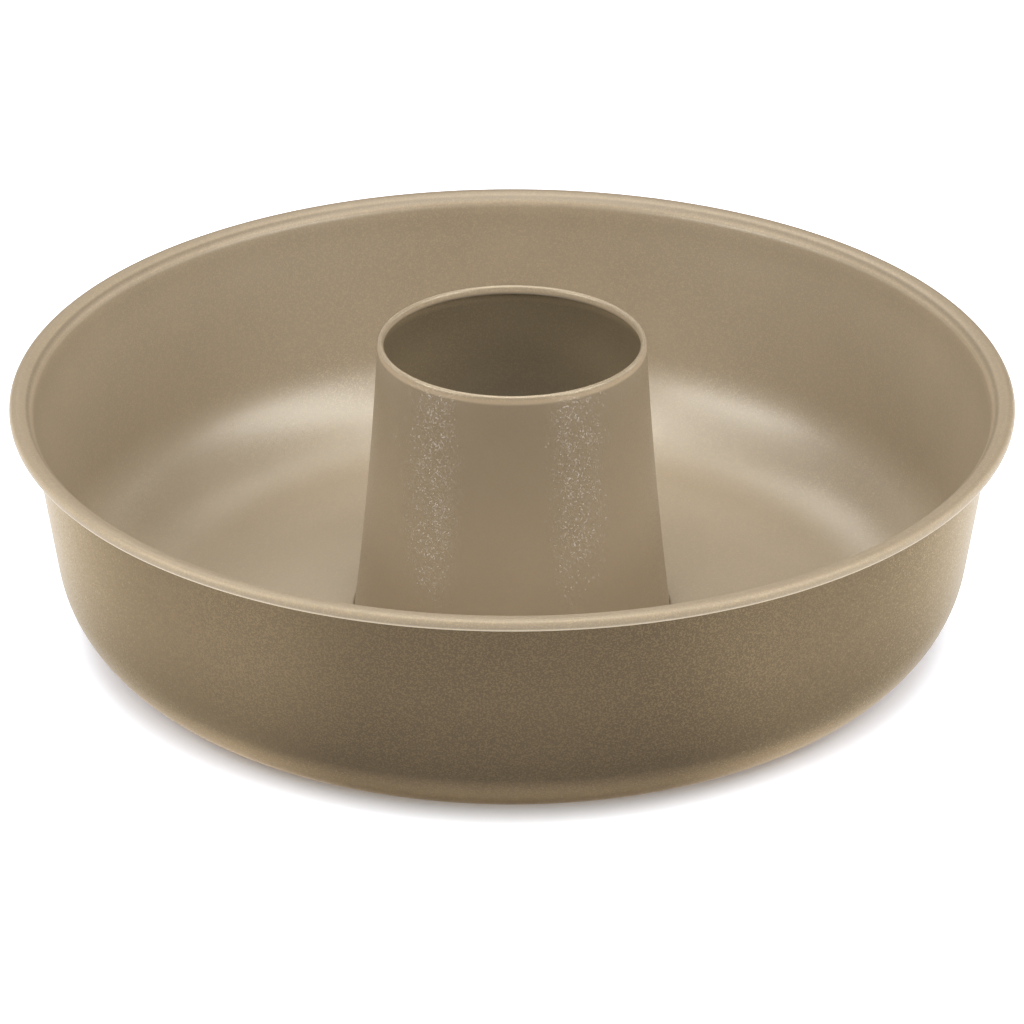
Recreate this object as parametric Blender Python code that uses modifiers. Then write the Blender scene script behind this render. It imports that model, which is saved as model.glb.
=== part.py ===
"""Savarin mould for a 24 cm ring cake: a drawn steel pan with a centre tube seamed into its floor.

Lengths are in metres and +Z is up. The origin lies on the axis, on the plane that the mould stands on.
Both pieces are revolved sheet. Each profile is the sheet's middle line, given its thickness afterwards.
"""
import math

import bpy

MM = 0.001

# Sheet steel and the clearance between the two pressings.
SHEET = 0.5 * MM
GAP = 0.3 * MM

# Pan.
MOUTH_RADIUS = 120.8 * MM       # inside of the wall, where it would reach the rim's top
RIM_WIDTH = 5.2 * MM            # from the mouth out to the edge of the rolled rim
RIM_HEIGHT = 65.8 * MM          # top of the rim above the table
ROLL_BORE = 1.05 * MM           # inside radius of the rolled edge
ROLL_TURN = 290.0               # degrees that the edge is rolled through
RIM_BEND = 2.0 * MM             # inside radius of the bend from wall to flange
WALL_DRAFT = 7.75               # degrees that the wall leans out from upright
CORNER_RADIUS = 26.65 * MM      # inside radius of the corner from wall to floor
REST_WIDTH = 16.0 * MM          # flat ring of the floor that stands on the table
RAMP_BEND = 14.0 * MM           # middle radius of the soft bends at both ends of the floor's rise
SEAT_WIDTH = 4.5 * MM           # level ring of the floor round the tube
COLLAR_BEND = 0.25 * MM         # inside radius of the bend from floor to collar

# Centre tube.
TUBE_HEIGHT = 78.2 * MM         # top of the bead above the table
TUBE_TOP_RADIUS = 33.7 * MM     # outside of the bead
TUBE_FOOT_RADIUS = 40.55 * MM   # outside of the tube where it meets the floor
TUBE_HOLLOW = 0.58 * MM         # how far the wall bows in from a straight cone
CURL_BORE = 0.58 * MM           # inside radius of the curled bead
CURL_TURN = 265.0               # degrees that the bead is curled through

# Lock seam under the floor.
SEAM_LIFT = 0.4 * MM            # underside of the seam above the table
SEAM_LAP = 0.8 * MM             # height of the tube's folded leg outside the collar
SEAM_HEADROOM = 0.6 * MM        # from that leg up to the underside of the floor

# Facets round the axis, down the tube's wall, and degrees to a facet in tight and in broad bends.
PAN_STEPS = 64
TUBE_STEPS = 48
WALL_FACETS = 6
TIGHT_FACET = 30.0
BROAD_FACET = 7.5

# Coating: colour as linear RGBA, roughness and metallic value.
PAN_COLOUR = (0.40, 0.315, 0.215, 1.0)
TUBE_COLOUR = (0.36, 0.285, 0.20, 1.0)
ROUGHNESS = 0.42
METALLIC = 0.85


def arc(centre, radius, start, end, facet):
    """Points (r, z) on an arc from start to end degrees, with no facet over the given angle."""
    count = max(1, math.ceil(abs(end - start) / facet - 0.001))
    points = []
    for i in range(count + 1):
        angle = math.radians(start + (end - start) * i / count)
        points.append((centre[0] + radius * math.cos(angle), centre[1] + radius * math.sin(angle)))
    return points


def bend(before, corner, after, radius, facet):
    """Points on the arc of this middle radius that rounds the corner between two straight runs."""
    ax, az = before[0] - corner[0], before[1] - corner[1]
    bx, bz = after[0] - corner[0], after[1] - corner[1]
    a_length, b_length = math.hypot(ax, az), math.hypot(bx, bz)
    ax, az, bx, bz = ax / a_length, az / a_length, bx / b_length, bz / b_length
    half = 0.5 * math.acos(ax * bx + az * bz)
    reach = radius / math.sin(half)
    mx, mz = ax + bx, az + bz
    m_length = math.hypot(mx, mz)
    centre = (corner[0] + reach * mx / m_length, corner[1] + reach * mz / m_length)
    tangent = radius / math.tan(half)
    first = (corner[0] + tangent * ax, corner[1] + tangent * az)
    start = math.degrees(math.atan2(first[1] - centre[1], first[0] - centre[0]))
    turn = 180.0 - 2.0 * math.degrees(half)
    if ax * bz - az * bx > 0.0:
        turn = -turn
    return arc(centre, radius, start, start + turn, facet)


def fold_radius():
    """Middle radius of the fold that wraps the collar's lower edge with the clearance all round."""
    return SHEET + GAP


def seam_levels():
    """Heights of the fold's centre, of the folded leg's top and of the floor's middle line at the tube."""
    fold_centre = SEAM_LIFT + 0.5 * SHEET + fold_radius()
    leg_top = fold_centre + SEAM_LAP
    seat = leg_top + SEAM_HEADROOM + 0.5 * SHEET
    return fold_centre, leg_top, seat


def pan_profile():
    """Middle line of the pan, from the rolled edge's free end to the collar's lower edge."""
    half = 0.5 * SHEET
    fold_centre, _, seat = seam_levels()
    flange = RIM_HEIGHT - half
    floor = half
    roll = ROLL_BORE + half
    wall_top = (MOUTH_RADIUS + half, flange)
    lean = math.tan(math.radians(WALL_DRAFT))
    wall_foot = (wall_top[0] - (flange - floor) * lean, floor)
    corner = CORNER_RADIUS + half
    floor_edge = wall_foot[0] - corner * math.tan(math.radians(45.0 - 0.5 * WALL_DRAFT))
    collar = TUBE_FOOT_RADIUS - half + fold_radius()
    ramp_foot = (floor_edge - REST_WIDTH, floor)
    ramp_top = (collar + SEAT_WIDTH, seat)
    collar_top = (collar, seat)
    collar_end = (collar, fold_centre)
    roll_centre = (MOUTH_RADIUS + RIM_WIDTH - half - roll, flange - roll)
    points = arc(roll_centre, roll, 90.0 - ROLL_TURN, 90.0, TIGHT_FACET)
    points += bend(points[-1], wall_top, wall_foot, RIM_BEND + half, TIGHT_FACET)
    points += bend(wall_top, wall_foot, ramp_foot, corner, BROAD_FACET)
    points += bend(wall_foot, ramp_foot, ramp_top, RAMP_BEND, BROAD_FACET)
    points += bend(ramp_foot, ramp_top, collar_top, RAMP_BEND, BROAD_FACET)
    points += bend(ramp_top, collar_top, collar_end, COLLAR_BEND + half, TIGHT_FACET)
    points.append(collar_end)
    return points


def tube_profile():
    """Middle line of the tube, from the bead's free end to the top of the folded leg."""
    half = 0.5 * SHEET
    fold_centre, leg_top, seat = seam_levels()
    curl = CURL_BORE + half
    curl_centre = (TUBE_TOP_RADIUS - half - curl, TUBE_HEIGHT - half - curl)
    foot = (TUBE_FOOT_RADIUS - half, seat + half)
    spread = foot[0] - (TUBE_TOP_RADIUS - half)
    lean = math.degrees(math.atan2(spread - 4.0 * TUBE_HOLLOW, curl_centre[1] - foot[1]))
    points = arc(curl_centre, curl, lean + CURL_TURN, lean, TIGHT_FACET)
    top = points[-1]
    for i in range(1, WALL_FACETS + 1):
        share = i / WALL_FACETS
        bow = 4.0 * TUBE_HOLLOW * share * (1.0 - share)
        points.append((top[0] + (foot[0] - top[0]) * share - bow, top[1] + (foot[1] - top[1]) * share))
    fold = (foot[0] + fold_radius(), fold_centre)
    points += arc(fold, fold_radius(), 180.0, 360.0, TIGHT_FACET)
    points.append((fold[0] + fold_radius(), leg_top))
    return points


def material(name, colour):
    """Coated metal with its own colour."""
    mat = bpy.data.materials.new(name)
    mat.use_nodes = True
    shader = mat.node_tree.nodes["Principled BSDF"]
    shader.inputs["Base Color"].default_value = colour
    shader.inputs["Roughness"].default_value = ROUGHNESS
    shader.inputs["Metallic"].default_value = METALLIC
    return mat


def turned_sheet(name, profile, steps, colour, collection):
    """Revolve a middle line about Z and give it the sheet's thickness, half to each side."""
    mesh = bpy.data.meshes.new(name)
    edges = [(i, i + 1) for i in range(len(profile) - 1)]
    mesh.from_pydata([(r, 0.0, z) for r, z in profile], edges, [])
    obj = bpy.data.objects.new(name, mesh)
    collection.objects.link(obj)
    mesh.materials.append(material(name + "_coating", colour))
    screw = obj.modifiers.new("revolve", "SCREW")
    screw.axis = "Z"
    screw.steps = steps
    screw.render_steps = steps
    screw.use_merge_vertices = True
    screw.merge_threshold = 0.00001
    screw.use_smooth_shade = True
    shell = obj.modifiers.new("sheet", "SOLIDIFY")
    shell.thickness = SHEET
    shell.offset = 0.0
    shell.use_even_offset = True
    shell.use_quality_normals = True
    return obj


def main():
    for obj in list(bpy.data.objects):
        bpy.data.objects.remove(obj, do_unlink=True)
    mould = bpy.data.collections.new("savarin_mould")
    bpy.context.scene.collection.children.link(mould)
    turned_sheet("pan", pan_profile(), PAN_STEPS, PAN_COLOUR, mould)
    turned_sheet("centre_tube", tube_profile(), TUBE_STEPS, TUBE_COLOUR, mould)


main()
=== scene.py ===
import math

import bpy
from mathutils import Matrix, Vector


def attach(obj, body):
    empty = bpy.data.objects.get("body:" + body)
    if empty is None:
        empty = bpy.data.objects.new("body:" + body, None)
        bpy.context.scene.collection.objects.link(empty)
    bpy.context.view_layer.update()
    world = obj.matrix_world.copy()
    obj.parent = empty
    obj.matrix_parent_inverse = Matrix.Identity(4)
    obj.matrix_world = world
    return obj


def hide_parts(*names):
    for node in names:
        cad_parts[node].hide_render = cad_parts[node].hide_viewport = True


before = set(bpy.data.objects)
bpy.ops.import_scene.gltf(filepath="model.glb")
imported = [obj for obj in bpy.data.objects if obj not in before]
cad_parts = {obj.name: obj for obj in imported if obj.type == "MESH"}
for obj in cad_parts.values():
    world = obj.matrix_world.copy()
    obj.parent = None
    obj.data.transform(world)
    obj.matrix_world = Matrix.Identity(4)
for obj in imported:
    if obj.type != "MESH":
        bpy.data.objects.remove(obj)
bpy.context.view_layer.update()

# Savarin mould in champagne-coloured coated steel, dressed over its CAD frame.
# Lengths are in metres and +Z is up. Both visible pieces follow the CAD profiles, with finer facets,
# softer bends, a slimmer bead and a tighter seam.

MM = 0.001

# Sheet steel and the clearance between the two pressings.
SHEET = 0.5 * MM
GAP = 0.05 * MM

# Pan.
MOUTH_RADIUS = 120.8 * MM       # inside of the wall, where it would reach the rim's top
RIM_WIDTH = 5.2 * MM            # from the mouth out to the edge of the rolled rim
RIM_HEIGHT = 65.8 * MM          # top of the rim above the table
ROLL_BORE = 1.05 * MM           # inside radius of the rolled edge
ROLL_TURN = 290.0               # degrees that the edge is rolled through
RIM_BEND = 3.5 * MM             # inside radius of the bend from wall to flange
TUCK = 0.4 * MM                 # how far the mouth is drawn in, for a wider bend behind the same flange
TUCK_DEPTH = 9.0 * MM           # height of the wall that stands more upright for it
TUCK_BEND = 60.0 * MM           # middle radius of the soft bend below that
WALL_DRAFT = 7.75               # degrees that the wall leans out from upright
CORNER_RADIUS = 26.65 * MM      # inside radius of the corner from wall to floor
REST_WIDTH = 16.0 * MM          # flat ring of the floor that stands on the table
RAMP_BEND = 60.0 * MM           # middle radius of the soft bends at both ends of the floor's rise
SEAT_WIDTH = 4.5 * MM           # level ring of the floor round the tube
COLLAR_BEND = 0.10 * MM         # inside radius of the bend from floor to collar

# Centre tube.
TUBE_HEIGHT = 78.2 * MM         # top of the bead above the table
TUBE_TOP_RADIUS = 33.7 * MM     # outside of the bead
TUBE_FOOT_RADIUS = 40.55 * MM   # outside of the tube where it meets the floor
TUBE_HOLLOW = 0.58 * MM         # how far the wall bows in from a straight cone
CURL_BORE = 0.25 * MM           # inside radius of the curled bead, before it is stretched
CURL_TURN = 265.0               # degrees that the bead is curled through
CURL_STRETCH = 1.90             # height of the bead as a share of its width

# Lock seam under the floor.
SEAM_LIFT = 0.4 * MM            # underside of the seam above the table
SEAM_LAP = 0.8 * MM             # height of the tube's folded leg outside the collar
SEAM_HEADROOM = 0.6 * MM        # from that leg up to the underside of the floor

# Steps round the axis, rows along straight runs, and degrees to a facet in bends.
PAN_STEPS = 256
TUBE_STEPS = 160
WALL_ROWS = 14
FLANGE_ROWS = 3
REST_ROWS = 6
RAMP_ROWS = 10
SEAT_ROWS = 3
TIGHT_FACET = 12.0
RIM_FACET = 6.0
BROAD_FACET = 3.0
SOFT_FACET = 0.9
LEAST_STEP = 0.002 * MM         # points of a profile that lie closer than this are one
SHARP = 50.0                    # an edge folded by more degrees than this stays crisp

# Camera: as the photograph was taken, at 1024 x 1024.
PHOTO = 1024.0                  # pixels across the photograph
SENSOR = 36.0                   # millimetres
CAMERA_DISTANCE = 1.2           # metres from the middle of the mouth
CAMERA_ELEVATION = 25.439       # degrees above the mouth, seen from its middle
CAMERA_PITCH = 26.970           # degrees that the view axis points below level
CAMERA_TARGET = 65.75 * MM      # height of the mouth's plane
FOCAL = 4773.8                  # pixels
SHIFT = -0.1                    # pixels

# Coats: base colours, then tints of the gloss.
INSIDE = (0.343, 0.271, 0.186)
OUTSIDE = (0.140, 0.101, 0.057)
# The bore's coat is darker than the food side's: painted shade inside the tube.
BORE = (0.253, 0.196, 0.120)
PAINTED_EDGE_HIGHLIGHT = (1.0, 0.87, 0.66)      # painted highlight along the rolled edge's lowest line
GOLD_TINT = (1.0, 0.88, 0.68)
PALE_TINT = (1.0, 0.93, 0.80)
ARC_TINT = (1.0, 0.975, 0.88)
CLEAR_TINT = (1.0, 1.0, 1.0)
# The painted highlight on the rolled edge lies below this height.
EDGE_HIGHLIGHT_TOP = RIM_HEIGHT - 1.95 * MM
EDGE_HIGHLIGHT_FADE = 1.0 * MM             # height over which the painted highlight grows to full below that
ROLL_COAT_REACH = 0.3 * MM      # from the roll's top towards the mouth

# Bands of a coat's colour: between two heights in millimetres it goes from one share of itself to
# another, and keeps these below and above. These bands are painted light and shade. The outside is darker
# low on the wall, as painted shade, and paler at the foot, as a painted reflection of the lit table.
FOOT_BANDS = ((20.0, 40.0, 0.81, 1.0), (5.0, 17.0, 3.5, 1.0))
# Painted light: the inside of the wall is paler just below the mouth.
INSIDE_BANDS = ((60.0, 63.7, 1.0, 1.15),)
# Painted light and shade on the bend at the mouth: paler low, darker in the middle and paler again towards
# the flange, which moves its highlight outwards.
MOUTH_BANDS = ((63.9, 64.7, 1.18, 0.77), (64.95, 65.25, 1.0, 1.33), (65.35, 65.7, 1.0, 0.88))
# Painted shade on the rolled edge's top and painted light on its face below.
RIM_BANDS = ((64.9, 65.45, 1.22, 1.06), (65.45, 65.75, 1.0, 0.80))
# Painted light and shade in the bore: lighter low down, darker towards the top, and painted light that
# lifts the shade under the bead.
BORE_BANDS = ((52.0, 70.0, 1.10, 0.80), (73.3, 75.6, 1.0, 1.7))
# Painted highlight: the bead is paler on its lower part, so that its highlight looks wider.
BEAD_BANDS = ((77.3, 77.9, 1.3, 1.0), (76.9, 77.6, 1.3, 1.0))
# Painted highlight on the tube's top, just below the bead, which widens the bead's highlight.
TUBE_BANDS = ((75.9, 76.5, 1.0, 1.65),)

# Texture of the coats. Scales are in cells to a metre.
GRAIN = 2700.0
GRAIN_RANGE = (0.25, 0.75)      # of the noise, from the darkest and smoothest to the palest and roughest
GRAIN_ROUGHNESS = 0.03          # either way
CLOUD = 55.0
CLOUD_RANGE = (0.3, 0.7)
CLOUD_SHADES = (0.97, 1.03)
FLAKES = 3400.0
FLAKE_WARMTH = (1.0, 0.985, 0.92)
FLAKE_CORE = 0.6                # share of the flakes that show in full; the others fade into the ground
GROUND_TILT = 0.05              # how far the ground leans at random, as a share of its normal
GLINTS = 3600.0
GLINT_SHARE = 0.7
GLINT_ROUGHNESS = 0.11
GLINT_IOR = 1.8
GLINT_LEAN = (0.25, 0.25, 0.5)  # how far a tipped flake leans at random; upwards only

# Floor: the light that it adds to what the eye sees, and to the gloss in front and at the sides.
FLOOR_REACH = 3.0               # metres from the axis
WHITE = (1.0, 1.0, 1.0)
PALE = (0.80, 0.83, 0.92)       # what the eye and the gloss see lit; bluer, against the mould's warm light
DIM = (0.65, 0.65, 0.65)        # what lights the mould
EYE_GLOW = 0.80
FAR_START = 500.0 * MM          # from here on the floor grows to full white, as the lamps light it less
FAR_FULL = 1500.0 * MM
GLOW_START = 93.5 * MM          # from the axis; no added light inside this
GLOW_FULL = 106.0 * MM
GLOW_SQUEEZE = 0.90             # the added light starts nearer the mould in front than at its sides
GLOSS_WORLD = 0.12              # the world's strength in the gloss
FRONT_GLOW = 0.09
CORNER_GLOW = 0.70
SIDE_GLOW = 0.95
CORNER_TURN = (-0.93, -0.76)    # from front to corner: Y as a share of the distance from the axis
SIDE_TURN = (-0.30, 0.10)       # from corner to side
UNDER_GLOW = 0.8                # beneath the corner, for the gloss only
UNDER_START = 95.0 * MM
UNDER_END = 101.0 * MM

# Soft panels: name, azimuth and elevation in degrees, distance, width and height in metres, power.
LAMP_AIM = 40.0 * MM            # height that they are aimed at
LAMPS = (
    ("overhead", 0, 82, 1.4, 1.0, 1.0, 9.7),
    ("back", 180, 62, 1.4, 0.9, 0.5, 3.7),
    ("front_left", 330, 62, 1.4, 0.5, 0.4, 2.5),
    ("front_right", 30, 62, 1.4, 0.5, 0.4, 3.2),
    ("upper_left", 298, 45, 1.4, 0.6, 0.5, 1.5),
    ("upper_right", 62, 45, 1.4, 0.6, 0.5, 4.0),
    ("low_left", 296, 22, 1.3, 1.1, 0.22, 2.3),
    ("low_right", 64, 22, 1.3, 1.1, 0.22, 3.2),
    ("near_left", 292, 30, 0.6, 0.4, 0.2, 1.05),
    ("near_right", 68, 30, 0.6, 0.4, 0.2, 0.70),
    ("left", 265, 45, 1.4, 0.6, 0.5, 0.8),
    ("high_left", 270, 70, 1.4, 0.7, 0.6, 1.0),
    ("rear_left", 210, 45, 1.4, 0.5, 0.4, 2.2),
    ("side_left", 245, 15, 1.4, 0.5, 0.3, 1.5),
    ("side_right", 115, 15, 1.4, 0.5, 0.3, 2.1),
)


def arc(centre, radius, start, end, facet):
    """Points (r, z) on an arc from start to end degrees, with no facet over the given angle."""
    count = max(1, math.ceil(abs(end - start) / facet - 0.001))
    points = []
    for i in range(count + 1):
        angle = math.radians(start + (end - start) * i / count)
        points.append((centre[0] + radius * math.cos(angle), centre[1] + radius * math.sin(angle)))
    return points


def bend(before, corner, after, radius, facet):
    """Points on the arc of this middle radius that rounds the corner between two straight runs."""
    ax, az = before[0] - corner[0], before[1] - corner[1]
    bx, bz = after[0] - corner[0], after[1] - corner[1]
    a_length, b_length = math.hypot(ax, az), math.hypot(bx, bz)
    ax, az, bx, bz = ax / a_length, az / a_length, bx / b_length, bz / b_length
    half = 0.5 * math.acos(ax * bx + az * bz)
    reach = radius / math.sin(half)
    mx, mz = ax + bx, az + bz
    m_length = math.hypot(mx, mz)
    centre = (corner[0] + reach * mx / m_length, corner[1] + reach * mz / m_length)
    tangent = radius / math.tan(half)
    first = (corner[0] + tangent * ax, corner[1] + tangent * az)
    start = math.degrees(math.atan2(first[1] - centre[1], first[0] - centre[0]))
    turn = 180.0 - 2.0 * math.degrees(half)
    if ax * bz - az * bx > 0.0:
        turn = -turn
    return arc(centre, radius, start, start + turn, facet)


def straight(first, last, rows):
    """Points strictly between two ends, which cut the run into equal rows."""
    return [(first[0] + (last[0] - first[0]) * i / rows, first[1] + (last[1] - first[1]) * i / rows)
            for i in range(1, rows)]


def seam_levels():
    """Fold's middle radius and centre height, the folded leg's top and the floor's middle line."""
    fold = SHEET + GAP
    fold_centre = SEAM_LIFT + 0.5 * SHEET + fold
    leg_top = fold_centre + SEAM_LAP
    return fold, fold_centre, leg_top, leg_top + SEAM_HEADROOM + 0.5 * SHEET


def pan_profile():
    """Middle line of the pan, from the rolled edge's free end to the collar's lower edge."""
    half = 0.5 * SHEET
    fold, fold_centre, _, seat = seam_levels()
    flange = RIM_HEIGHT - half
    floor = half
    roll = ROLL_BORE + half
    wall_top = (MOUTH_RADIUS + half, flange)
    lean = math.tan(math.radians(WALL_DRAFT))
    wall_foot = (wall_top[0] - (flange - floor) * lean, floor)
    corner = CORNER_RADIUS + half
    floor_edge = wall_foot[0] - corner * math.tan(math.radians(45.0 - 0.5 * WALL_DRAFT))
    collar = TUBE_FOOT_RADIUS - half + fold
    ramp_foot = (floor_edge - REST_WIDTH, floor)
    ramp_top = (collar + SEAT_WIDTH, seat)
    collar_top = (collar, seat)
    collar_end = (collar, fold_centre)
    roll_centre = (MOUTH_RADIUS + RIM_WIDTH - half - roll, flange - roll)
    mouth = (wall_top[0] - TUCK, flange)
    tuck_foot = (wall_top[0] - TUCK_DEPTH * lean, flange - TUCK_DEPTH)
    rolled = arc(roll_centre, roll, 90.0 - ROLL_TURN, 90.0, TIGHT_FACET)
    shoulder = bend(rolled[-1], mouth, tuck_foot, RIM_BEND + half, RIM_FACET)
    shoulder += bend(mouth, tuck_foot, wall_foot, TUCK_BEND, SOFT_FACET)
    rounded = bend(wall_top, wall_foot, ramp_foot, corner, BROAD_FACET)
    rise = bend(wall_foot, ramp_foot, ramp_top, RAMP_BEND, SOFT_FACET)
    level = bend(ramp_foot, ramp_top, collar_top, RAMP_BEND, SOFT_FACET)
    turn_down = bend(ramp_top, collar_top, collar_end, COLLAR_BEND + half, TIGHT_FACET)
    points = rolled + straight(rolled[-1], shoulder[0], FLANGE_ROWS) + shoulder
    points += straight(shoulder[-1], rounded[0], WALL_ROWS) + rounded
    points += straight(rounded[-1], rise[0], REST_ROWS) + rise
    points += straight(rise[-1], level[0], RAMP_ROWS) + level
    points += straight(level[-1], turn_down[0], SEAT_ROWS) + turn_down + [collar_end]
    return points


def tube_profile():
    """Middle line of the tube, from the bead's free end to the top of the folded leg."""
    half = 0.5 * SHEET
    fold, fold_centre, leg_top, seat = seam_levels()
    curl = CURL_BORE + half
    curl_centre = (TUBE_TOP_RADIUS - half - curl, TUBE_HEIGHT - half - curl)
    foot = (TUBE_FOOT_RADIUS - half, seat + half)
    spread = foot[0] - (TUBE_TOP_RADIUS - half)
    lean = math.degrees(math.atan2(spread - 4.0 * TUBE_HOLLOW, curl_centre[1] - foot[1]))
    crest = curl_centre[1] + curl
    points = [(r, crest - CURL_STRETCH * (crest - z))
              for r, z in arc(curl_centre, curl, lean + CURL_TURN, lean, TIGHT_FACET)]
    top = points[-1]
    for i in range(1, WALL_ROWS + 1):
        share = i / WALL_ROWS
        bow = 4.0 * TUBE_HOLLOW * share * (1.0 - share)
        points.append((top[0] + (foot[0] - top[0]) * share - bow, top[1] + (foot[1] - top[1]) * share))
    centre = (foot[0] + fold, fold_centre)
    points += arc(centre, fold, 180.0, 360.0, TIGHT_FACET)
    points.append((centre[0] + fold, leg_top))
    return points


def without_repeats(points):
    """The same points without those that repeat the one before."""
    kept = [points[0]]
    for point in points[1:]:
        if math.hypot(point[0] - kept[-1][0], point[1] - kept[-1][1]) > LEAST_STEP:
            kept.append(point)
    return kept


def sheet_loop(line):
    """Closed outline of the sheet round a middle line: out along one face and back along the other."""
    half = 0.5 * SHEET
    left, right = [], []
    for i, (r, z) in enumerate(line):
        before, after = line[max(i - 1, 0)], line[min(i + 1, len(line) - 1)]
        a = Vector((r - before[0], z - before[1]))
        b = Vector((after[0] - r, after[1] - z))
        a = (a if a.length else b).normalized()
        b = (b if b.length else a).normalized()
        along = (a + b).normalized()
        reach = half / max(along.dot(a), 0.5)
        left.append((r - along.y * reach, z + along.x * reach))
        right.append((r + along.y * reach, z - along.x * reach))
    return left + right[::-1]


def turned_sheet(name, line, steps, node, materials, coat):
    """Revolve a sheet's outline about Z into one closed skin that stands for a CAD node."""
    loop = sheet_loop(without_repeats(line))
    count = len(loop)
    verts, faces = [], []
    for s in range(steps):
        angle = 2.0 * math.pi * s / steps
        verts += [(r * math.cos(angle), r * math.sin(angle), z) for r, z in loop]
    for s in range(steps):
        here, there = s * count, (s + 1) % steps * count
        for i in range(count):
            j = (i + 1) % count
            faces.append((here + i, here + j, there + j, there + i))
    mesh = bpy.data.meshes.new(name)
    mesh.from_pydata(verts, [], faces)
    for material in materials:
        mesh.materials.append(material)
    for face in mesh.polygons:
        face.use_smooth = True
        face.material_index = coat(face.index % count < count // 2, face.center)
    mesh.update()
    mesh.set_sharp_from_angle(angle=math.radians(SHARP))
    obj = bpy.data.objects.new(name, mesh)
    bpy.context.scene.collection.objects.link(obj)
    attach(obj, "root")
    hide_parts(node)
    return obj


def pan_coat(outward, place):
    """Slot of the pan's coat: 0 food side, 1 outside, 2 rolled edge, 3 bend at the mouth."""
    radius = math.hypot(place.x, place.y)
    if outward:
        return 1
    if radius < MOUTH_RADIUS - TUCK:
        return 0
    return 2 if radius > MOUTH_RADIUS + RIM_WIDTH - ROLL_BORE - SHEET - ROLL_COAT_REACH else 3


def tube_coat(foodward, place):
    """Slot of the tube's coat: 0 food side, 1 bore, 2 bead."""
    if not foodward:
        return 1
    return 2 if place.z > TUBE_HEIGHT - CURL_STRETCH * (CURL_BORE + SHEET) else 0


def opaque(colour, scale=1.0):
    """RGBA of a colour, or of a share of it."""
    return tuple(scale * c for c in colour) + (1.0,)


class Nodes:
    """Short hand for building the node tree of a material or a world."""

    def __init__(self, owner):
        owner.use_nodes = True
        self.owner = owner
        self.tree = owner.node_tree

    def feed(self, node, inputs):
        """Give a node's inputs, by name or index, a value or a link."""
        for key, value in inputs.items():
            if isinstance(value, bpy.types.NodeSocket):
                self.tree.links.new(value, node.inputs[key])
            else:
                node.inputs[key].default_value = value

    def add(self, kind, inputs=None, **settings):
        """New node of this kind, with its settings and inputs."""
        node = self.tree.nodes.new("ShaderNode" + kind)
        for key, value in settings.items():
            setattr(node, key, value)
        self.feed(node, inputs or {})
        return node

    def math(self, operation, *values):
        """Result of a calculation with numbers."""
        return self.add("Math", dict(enumerate(values)), operation=operation).outputs[0]

    def vector(self, operation, *values):
        """Result of a calculation with vectors."""
        return self.add("VectorMath", dict(enumerate(values)), operation=operation).outputs[0]

    def spread(self, value, low, high, to_low, to_high):
        """Map a value's range onto another, held at both ends."""
        return self.add("MapRange", dict(enumerate((value, low, high, to_low, to_high)))).outputs[0]

    def mix(self, factor, first, second, blend="MIX"):
        """Mix of two colours."""
        node = self.add("Mix", data_type="RGBA", blend_type=blend)
        self.feed(node, {0: factor, 6: first, 7: second})
        return node.outputs[2]

    def leaned(self, lean):
        """Surface normal, leaned over."""
        facing = self.add("NewGeometry").outputs["Normal"]
        return self.vector("NORMALIZE", self.vector("ADD", facing, lean))


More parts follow.
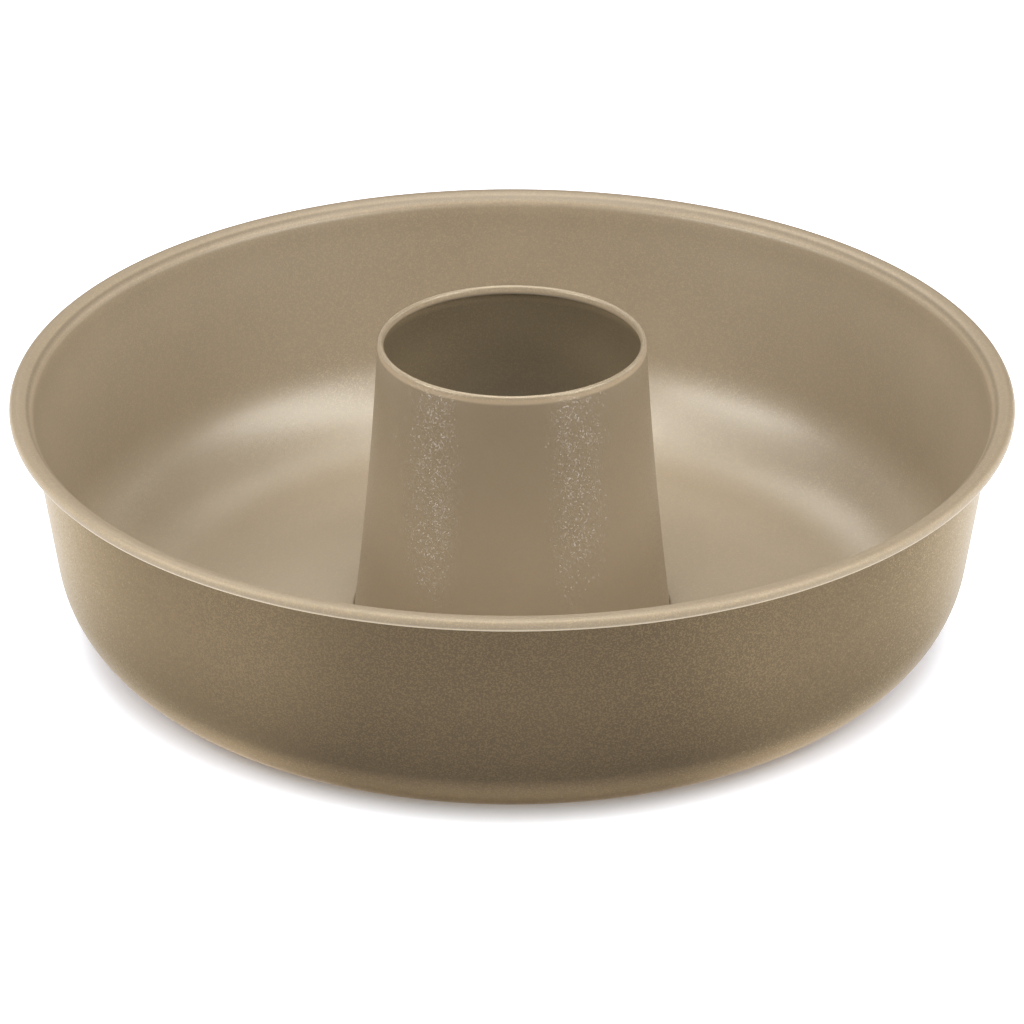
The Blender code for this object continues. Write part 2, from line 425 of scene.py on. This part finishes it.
def coating(name, base, seed, metal=0.0, gloss=2.0, rough=0.35, tint=CLEAR_TINT, share=0.3, lift=1.1,
            tilt=0.1, grain=0.88, edge_highlight=False, bands=(), glint=0.0):
    """Satin champagne coat: a pigmented ground under fine metal flakes that each lie a little askew."""
    n = Nodes(bpy.data.materials.new(name))
    place = n.add("TexCoord").outputs["Object"]
    height = n.add("SeparateXYZ", {0: place}).outputs["Z"]
    moved = n.add("Mapping", {"Vector": place, "Location": (seed, -0.7 * seed, 0.4 * seed)}).outputs[0]
    cells = n.add("TexVoronoi", {"Vector": moved, "Scale": FLAKES, "Randomness": 1.0}).outputs["Color"]
    speckle = n.add("TexNoise", {"Vector": moved, "Scale": GRAIN, "Detail": 2.0, "Roughness": 0.6})
    speckle = speckle.outputs["Fac"]
    cloud = n.add("TexNoise", {"Vector": moved, "Scale": CLOUD, "Detail": 3.0, "Roughness": 0.5})
    cloud = cloud.outputs["Fac"]
    chance = n.add("SeparateColor", {0: cells}).outputs[0]
    is_flake = n.spread(chance, 1.0 - share, 1.0 - FLAKE_CORE * share, 0.0, 1.0)

    dark, light = (opaque(base, shade) for shade in CLOUD_SHADES)
    ground = n.mix(n.spread(cloud, *CLOUD_RANGE, 0.0, 1.0), dark, light)
    shade = n.mix(n.spread(speckle, *GRAIN_RANGE, 0.0, 1.0), opaque(WHITE, grain), opaque(WHITE))
    ground = n.mix(1.0, ground, shade, "MULTIPLY")
    flake = opaque([c * lift * warm for c, warm in zip(base, FLAKE_WARMTH)])
    colour = n.mix(is_flake, ground, flake)
    # Painted highlight along the rolled edge's lowest line.
    if edge_highlight:
        colour = n.mix(n.spread(height, EDGE_HIGHLIGHT_TOP - EDGE_HIGHLIGHT_FADE, EDGE_HIGHLIGHT_TOP, 1.0, 0.0), colour, opaque(PAINTED_EDGE_HIGHLIGHT))
    # Bands of painted light and shade along the height.
    for low, high, to_low, to_high in bands:
        part = n.spread(height, low * MM, high * MM, to_low, to_high)
        colour = n.add("VectorMath", {0: colour, "Scale": part}, operation="SCALE").outputs[0]

    lean = n.mix(is_flake, opaque((GROUND_TILT,) * 3), opaque((tilt,) * 3))
    lean = n.vector("MULTIPLY", n.vector("SUBTRACT", cells, (0.5, 0.5, 0.5)), lean)
    n.feed(n.tree.nodes["Principled BSDF"], {
        "Base Color": colour,
        "Metallic": metal,
        "Roughness": n.spread(speckle, *GRAIN_RANGE, rough - GRAIN_ROUGHNESS, rough + GRAIN_ROUGHNESS),
        "IOR": gloss,
        "Specular Tint": opaque(tint),
        "Normal": n.leaned(lean),
    })
    if glint:
        add_glints(n, moved, glint)
    return n.owner


def add_glints(n, place, weight):
    """Clear coat in which some flakes lie tipped upwards, so that they catch only the low lamps."""
    cells = n.add("TexVoronoi", {"Vector": place, "Scale": GLINTS, "Randomness": 1.0}).outputs["Color"]
    chance = n.add("SeparateColor", {0: cells}).outputs[0]
    middle = (-0.5 * GLINT_LEAN[0], -0.5 * GLINT_LEAN[1], 0.0)
    n.feed(n.tree.nodes["Principled BSDF"], {
        "Coat Weight": n.spread(chance, 1.0 - GLINT_SHARE, 1.0 - FLAKE_CORE * GLINT_SHARE, 0.0, weight),
        "Coat Roughness": GLINT_ROUGHNESS,
        "Coat IOR": GLINT_IOR,
        "Coat Normal": n.leaned(n.vector("MULTIPLY_ADD", cells, GLINT_LEAN, middle)),
    })


def studio_floor():
    """White floor that shows white to the eye and in the gloss, and keeps the mould's shadow."""
    n = Nodes(bpy.data.materials.new("studio_floor"))
    n.tree.nodes.remove(n.tree.nodes["Principled BSDF"])
    path = n.add("LightPath").outputs
    place = n.add("TexCoord").outputs["Object"]
    squeezed = n.vector("MULTIPLY", place, (GLOW_SQUEEZE, 1.0, 1.0))
    reach = n.add("VectorMath", {0: squeezed}, operation="LENGTH").outputs["Value"]
    bearing = n.add("SeparateXYZ", {0: n.vector("NORMALIZE", place)}).outputs["Y"]

    open_floor = n.spread(reach, GLOW_START, GLOW_FULL, 0.0, 1.0)
    watched = n.math("MULTIPLY", open_floor, n.spread(reach, FAR_START, FAR_FULL, EYE_GLOW, 1.0))
    beside = n.math("ADD", n.spread(bearing, *CORNER_TURN, FRONT_GLOW, CORNER_GLOW),
                    n.spread(bearing, *SIDE_TURN, 0.0, SIDE_GLOW - CORNER_GLOW))
    under = n.spread(reach, UNDER_START, UNDER_END, UNDER_GLOW, 0.0)
    mirrored = n.math("MULTIPLY_ADD", beside, open_floor, under)
    level = n.add("Mix", {0: path["Is Camera Ray"], 2: mirrored, 3: watched}, data_type="FLOAT").outputs[0]

    glow = n.add("Emission", {"Color": opaque(WHITE), "Strength": level}).outputs[0]
    pale = n.add("BsdfDiffuse", {"Color": opaque(PALE)}).outputs[0]
    dim = n.add("BsdfDiffuse", {"Color": opaque(DIM)}).outputs[0]
    seen = n.math("MAXIMUM", path["Is Camera Ray"], path["Is Glossy Ray"])
    both = n.add("MixShader", {0: seen, 1: dim, 2: n.add("AddShader", {0: pale, 1: glow}).outputs[0]})
    n.feed(n.tree.nodes["Material Output"], {"Surface": both.outputs[0]})

    corners = [(x * FLOOR_REACH, y * FLOOR_REACH, 0) for x, y in ((-1, -1), (1, -1), (1, 1), (-1, 1))]
    mesh = bpy.data.meshes.new("floor")
    mesh.from_pydata(corners, [], [(0, 1, 2, 3)])
    mesh.materials.append(n.owner)
    floor = bpy.data.objects.new("floor", mesh)
    bpy.context.scene.collection.objects.link(floor)


def studio_world():
    """World that is white to the eye, dim in the gloss and lights nothing else."""
    n = Nodes(bpy.data.worlds.new("studio"))
    path = n.add("LightPath").outputs
    seen = n.math("MULTIPLY_ADD", path["Is Glossy Ray"], GLOSS_WORLD, path["Is Camera Ray"])
    n.feed(n.tree.nodes["Background"], {"Color": opaque(WHITE), "Strength": seen})
    bpy.context.scene.world = n.owner


def soft_lamp(name, azimuth, elevation, distance, width, height, power):
    """Soft panel aimed at the mould. Azimuth 0 is the camera's side and 90 its right."""
    light = bpy.data.lights.new(name, "AREA")
    light.shape = "RECTANGLE"
    light.size = width
    light.size_y = height
    light.energy = power
    lamp = bpy.data.objects.new(name, light)
    bpy.context.scene.collection.objects.link(lamp)
    az, el = math.radians(azimuth), math.radians(elevation)
    away = Vector((math.cos(el) * math.sin(az), -math.cos(el) * math.cos(az), math.sin(el)))
    lamp.location = Vector((0.0, 0.0, LAMP_AIM)) + away * distance
    lamp.rotation_euler = away.to_track_quat("Z", "Y").to_euler()


def photo_camera():
    """Camera that sees the mould as the photograph does."""
    camera = bpy.data.cameras.new("camera")
    camera.sensor_width = SENSOR
    camera.lens = FOCAL / PHOTO * camera.sensor_width
    camera.shift_x = SHIFT / PHOTO
    eye = bpy.data.objects.new("camera", camera)
    bpy.context.scene.collection.objects.link(eye)
    rise = math.radians(CAMERA_ELEVATION)
    back, up = CAMERA_DISTANCE * math.cos(rise), CAMERA_DISTANCE * math.sin(rise)
    eye.location = (0.0, -back, CAMERA_TARGET + up)
    eye.rotation_euler = (math.radians(90.0 - CAMERA_PITCH), 0.0, 0.0)
    bpy.context.scene.camera = eye


bpy.context.scene.view_settings.view_transform = "Standard"
photo_camera()
inside = coating("coating_inside", INSIDE, 0.0, gloss=2.2, rough=0.39, tint=ARC_TINT, bands=INSIDE_BANDS)
outside = coating("coating_outside", OUTSIDE, 0.21, metal=0.75, gloss=1.45, rough=0.30, tint=GOLD_TINT,
                  share=0.45, lift=1.2, tilt=0.2, grain=0.80, bands=FOOT_BANDS)
rolled = coating("coating_rim", INSIDE, 0.11, gloss=1.65, rough=0.42, tint=GOLD_TINT, edge_highlight=True,
                 bands=RIM_BANDS)
mouth = coating("coating_mouth", INSIDE, 0.0, gloss=1.65, rough=0.42, tint=PALE_TINT, bands=MOUTH_BANDS)
bead = coating("coating_bead", INSIDE, 0.11, gloss=1.9, rough=0.32, tint=GOLD_TINT, bands=BEAD_BANDS)
tube = coating("coating_tube", INSIDE, 0.37, gloss=1.55, rough=0.42, tint=PALE_TINT, lift=1.0,
               tilt=0.05, grain=0.97, glint=0.38, bands=TUBE_BANDS)
bore = coating("coating_bore", BORE, 0.53, gloss=1.45, bands=BORE_BANDS)
turned_sheet("pan_sheet", pan_profile(), PAN_STEPS, "pan", [inside, outside, rolled, mouth], pan_coat)
turned_sheet("tube_sheet", tube_profile(), TUBE_STEPS, "centre_tube", [tube, bore, bead], tube_coat)
studio_floor()
studio_world()
for lamp in LAMPS:
    soft_lamp(*lamp)
